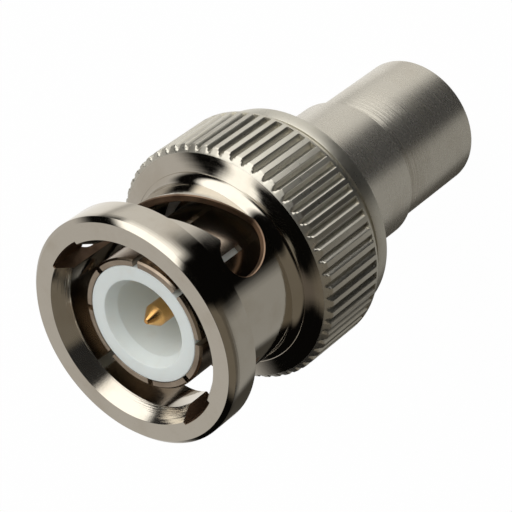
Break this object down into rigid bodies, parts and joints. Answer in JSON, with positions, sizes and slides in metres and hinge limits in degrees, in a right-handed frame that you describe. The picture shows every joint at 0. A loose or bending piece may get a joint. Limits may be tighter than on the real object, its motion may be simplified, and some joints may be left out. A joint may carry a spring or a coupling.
{
  "type": "bayonet plug to phono socket coaxial adapter",
  "caption": "Nickel-plated coaxial adapter with a bayonet plug in a knurled, sprung coupling nut at one end and a phono socket in a plain barrel at the other.",
  "frame": {"origin": "centre of the phono barrel's rim, which the adapter stands on", "axes": "+Z along the connector's axis, from the phono socket to the bayonet plug's mating face; +X 5 degrees short of the middle of the first bayonet entry"},
  "size_m": [0.015, 0.015, 0.0286],
  "materials": {
    "nickel_plated_nut": "bright nickel plating over turned brass, fine turning marks on the front face",
    "nickel_plated_body": "nickel plating over turned brass, satin",
    "nickel_plated_contact": "bright nickel plating over beryllium copper",
    "gold_plated_contact": "thin gold plating over brass, satin",
    "washer_brass": "nickel plating over flat brass",
    "spring_steel": "plain spring steel",
    "white_insulator": "turned white fluoropolymer, slightly waxy",
    "silicone_gasket": "soft grey-white silicone rubber"
  },
  "bodies": {
    "root": {"main_body": "nickel_plated_body", "phono_barrel": "nickel_plated_body", "phono_insulator": "white_insulator", "phono_socket_contact": "gold_plated_contact", "outer_contact": "nickel_plated_contact", "plug_insulator": "white_insulator", "centre_pin": "gold_plated_contact", "gasket": "silicone_gasket", "wave_spring": "spring_steel"},
    "slider": {"thrust_washer": "washer_brass"},
    "nut": {"coupling_nut": "nickel_plated_nut", "retaining_ring": "spring_steel"}
  },
  "joints": [
    {"name": "nut_pull", "type": "slide", "parent": "root", "child": "slider", "axis": [0, 0, 1], "range_m": [0, 0.0008], "stiffness_N_per_m": 600, "springref_m": -0.0001, "deforming": ["wave_spring"]},
    {"name": "nut_turn", "type": "hinge", "parent": "slider", "child": "nut", "pos_m": [0, 0, 0.0155], "axis": [0, 0, 1], "continuous": true}
  ]
}
